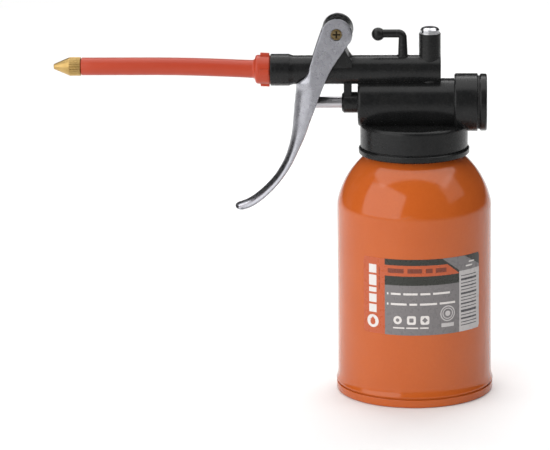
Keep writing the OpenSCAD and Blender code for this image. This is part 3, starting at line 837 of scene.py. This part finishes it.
def combined(bm, changes, materials):
    """The bmesh after each (operation, bmesh) of changes, in order."""
    base = scratch(bm, materials)
    tools = []
    for operation, tool_bm in changes:
        tool = scratch(tool_bm, materials)
        tool.hide_render = True
        tools.append(tool)
        change = base.modifiers.new(operation, "BOOLEAN")
        change.operation = operation
        change.solver = "EXACT"
        change.object = tool
    shape = base.evaluated_get(bpy.context.evaluated_depsgraph_get())
    out = bmesh.new()
    out.from_mesh(shape.to_mesh())
    shape.to_mesh_clear()
    for thing in (base, *tools):
        mesh = thing.data
        bpy.data.objects.remove(thing)
        bpy.data.meshes.remove(mesh)
    return out


def drum(centre, direction, radius, start, end):
    """A cylinder along a direction from start to end, measured from centre."""
    sides = 64
    bm = bmesh.new()
    turn = Vector(direction).to_track_quat("Z", "Y")
    loops = []
    for along in (start, end):
        loop = []
        for k in range(sides):
            a = 2 * math.pi * k / sides
            corner = Vector((radius * math.cos(a), radius * math.sin(a), along))
            loop.append(Vector(centre) + turn @ corner)
        loops.append(loop)
    loft(bm, loops)
    return bm


def make_trigger(polished, raw_and_shaded):
    """The trigger: a channel with a round nose, its push pad, and its stepped bore for the screw; the
    channel's inside is darker, as painted shade.
    """
    front, rear = trigger_edges()
    # stations down the handle, closer together in its tip
    handle, tip, tip_share = 150, 30, 0.035
    stations = [(1 - tip_share) * i / handle for i in range(handle)]
    stations += [1 - tip_share * (1 - math.sin(math.pi / 2 * i / tip)) for i in range(tip + 1)]
    front, rear = resampled(front, stations), resampled(rear, stations)
    bm = bmesh.new()
    loops = []
    for f, r in zip(front, rear):
        outer, inner = trigger_section(f, r)
        loops.append(outer + inner[::-1])
    # the channel's inside faces take the second material: rougher as-cast zinc whose darker tone is painted
    # shade in the hollow
    loft(bm, loops, len(outer))
    # the other half
    twin = bmesh.ops.duplicate(bm, geom=bm.verts[:] + bm.edges[:] + bm.faces[:])["geom"]
    for v in (g for g in twin if isinstance(g, bmesh.types.BMVert)):
        v.co.y = -v.co.y
    bmesh.ops.reverse_faces(bm, faces=[g for g in twin if isinstance(g, bmesh.types.BMFace)])
    bmesh.ops.remove_doubles(bm, verts=bm.verts, dist=0.002)
    # faces left between the halves, where the two meet in the middle
    inside = [f for f in bm.faces if all(abs(v.co.y) < 0.003 for v in f.verts)]
    bmesh.ops.delete(bm, geom=inside, context="FACES_ONLY")
    pivot, outwards, beyond = (PIVOT.x, 0, PIVOT.y), (0, -1, 0), 12
    bore_r, seat_r, seat_depth = 2.02, 2.7, 1.1
    changes = [
        ("UNION", push_pad()),
        ("DIFFERENCE", drum(pivot, outwards, bore_r, -beyond, beyond)),
        ("DIFFERENCE", drum(pivot, outwards, seat_r, HALF_W - seat_depth, beyond)),
    ]
    bm = combined(bm, changes, (polished, raw_and_shaded))
    piece = finish_piece("trigger_body", bm, "trigger", polished, ["trigger"], 40)
    piece.data.materials.append(raw_and_shaded)


# --- spout and nozzle --------------------------------------------------------

SPOUT_RISE = 1.7
SPOUT_BEND = (-62.6, -117.0)


def spout_height(x):
    """The height of the spout's middle line."""
    start, end = SPOUT_BEND
    t = min(max((start - x) / (start - end), 0), 1)
    return BARREL_Z + SPOUT_RISE * math.sin(t * math.pi / 2)


def make_spout(material):
    """The spout: a long tube with a ribbed collar and a shank that fits the barrel's socket."""
    collar_r, tube_r, bore_r, rib_r = 6.35, 3.9, 2.2, 7.4
    shank_r, shank_end, collar_start = 4.9, -54.45, -62.75
    outer = [
        (shank_end, bore_r, 0), (shank_end, shank_r, 0.4), (collar_start, shank_r, 0),
        (collar_start, collar_r, 0.5), (-69.2, collar_r, 2.0), (-69.6, tube_r + 0.05, 1.3),
        (-76, tube_r, 0),
    ]
    outline = rounded(outer, 8)
    outline += [(x, tube_r) for x in range(-80, -144, -4)]
    # the tube's end and the spigot that the nozzle screws on to
    outline += [
        (-145.4, tube_r), (-145.7, tube_r - 0.1), (-145.9, tube_r - 0.4), (-145.9, 3.0),
        (-148.3, 3.0), (-148.5, 2.8), (-148.5, bore_r),
    ]
    outline += [(x, bore_r) for x in range(-144, -60, 4)]
    rib_start, rib_end, rib_half = -67.1, -63.2, 1.1

    def to_point(along, radius, angle):
        if radius > collar_r - 0.3 and rib_start < along < rib_end:
            away = abs((angle + math.pi / 4) % (math.pi / 2) - math.pi / 4) * radius
            if away < rib_half:
                radius = rib_r
        return (along, radius * math.sin(angle), spout_height(along) + radius * math.cos(angle))

    # rows of points where the ribs start and end
    flat = [(x, collar_r) for x in (-63.15, -63.25, -65, -67.05, -67.15)]
    place = next(i for i, (x, r) in enumerate(outline) if x < -67.2 and r > collar_r - 0.6)
    outline[place:place] = flat
    bm = bmesh.new()
    lathe(bm, outline, TURNED_SIDES, to_point)
    finish_piece("spout_tube", bm, "spout", material, ["spout"])


def make_nozzle(material):
    """The brass nozzle: a cone with a knurled grip."""
    grip_r, teeth, depth = 4.1, 24, 0.34
    front, back, end = -151.0, -146.1, -158.1
    corners = [
        (back, 3.05, 0), (back, grip_r, 0.35), (front, grip_r, 0.35), (end + 0.1, 1.1, 0.7), (end, 0.6, 0.2),
        (-152.6, 0.6, 0), (-152.6, 2.2, 0), (-149, 2.2, 0), (-149, 3.05, 0),
    ]
    outline = rounded(corners, 6)
    height = spout_height(end)

    def to_point(along, radius, angle):
        # only the grip's outside is knurled, not the cone or the bore
        if radius > 3.6 and along > front + 0.1:
            radius -= depth * (0.5 - 0.5 * math.cos(teeth * angle)) ** 2
        return (along, radius * math.sin(angle), height + radius * math.cos(angle))

    bm = bmesh.new()
    lathe(bm, outline, teeth * 10, to_point)
    finish_piece("nozzle_cone", bm, "nozzle", material, ["nozzle_tip"])


# --- springs -----------------------------------------------------------------


def make_spring(node, material):
    """A coil in the CAD coil's shape, copied with its own material and tied to the head."""
    mesh = cad[node].data.copy()
    mesh.materials.clear()
    mesh.materials.append(material)
    piece = bpy.data.objects.new(node + "_coil", mesh)
    bpy.context.scene.collection.objects.link(piece)
    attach(piece, "head")
    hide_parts(node)
    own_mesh(piece)


# --- go ----------------------------------------------------------------------

make_camera()
make_studio()
enamel = painted_orange()
black = moulded_black("black_nylon", 0.22, 0.32, 0.0000014)
black_smooth = moulded_black("black_nylon_smooth", 0.20, 0.30, 0.000001)
red = moulded_red()
zinc = cast_zinc()
# the trigger's inside: rougher as-cast zinc, with a darker tone that is painted shade inside the channel
raw_and_shaded_zinc = bright_metal("raw_and_shaded_zinc", (0.20, 0.20, 0.21), (0.26, 0.26, 0.27), 0.5, 0.65, 0.0005, 0.00002)
chrome = bright_metal("chrome", (0.50, 0.50, 0.52), (0.56, 0.56, 0.58), 0.12, 0.22)
plain_steel = bright_metal("bright_steel", (0.55, 0.55, 0.56), (0.64, 0.64, 0.65), 0.22, 0.34)
spring_steel = bright_metal("spring_steel", (0.42, 0.42, 0.43), (0.50, 0.50, 0.51), 0.24, 0.36)
brass = bright_metal("turned_brass", (0.42, 0.275, 0.095), (0.52, 0.35, 0.135), 0.26, 0.40)
screw_brass = recessed_brass()
rod_steel = bright_metal("ground_rod", (0.46, 0.45, 0.47), (0.52, 0.51, 0.53), 0.26, 0.36)
rubber = soft_plastic("seal_rubber", (0.012, 0.012, 0.012), (0.020, 0.019, 0.019), 0.55, 0.75)
nylon = soft_plastic("natural_nylon", (0.68, 0.66, 0.58), (0.76, 0.74, 0.67), 0.35, 0.5)
print_material = label_print()

make_bottle(enamel)
make_neck_thread(enamel)
make_label(print_material)
make_trigger(zinc, raw_and_shaded_zinc)
make_spout(red)
make_nozzle(brass)
make_spring("return_spring", spring_steel)
make_spring("outlet_spring", spring_steel)

finishes = {
    "mouth_gasket": rubber, "pump_head": black, "shutoff_lever": black_smooth, "cylinder_plug": black_smooth,
    "plug_seal": rubber, "plunger_rod": rod_steel, "rod_seal": rubber, "piston": nylon, "piston_cup": rubber,
    "piston_washer": plain_steel, "piston_nut": plain_steel, "outlet_ball": plain_steel,
    "outlet_valve_screw": chrome, "screw_washer": plain_steel, "inlet_valve_body": brass,
    "inlet_ball": plain_steel, "suction_tube": nylon, "pivot_screw": screw_brass, "spout_seal": rubber,
}
for name, material in finishes.items():
    slots = cad[name].data.materials
    slots.clear()
    slots.append(material)
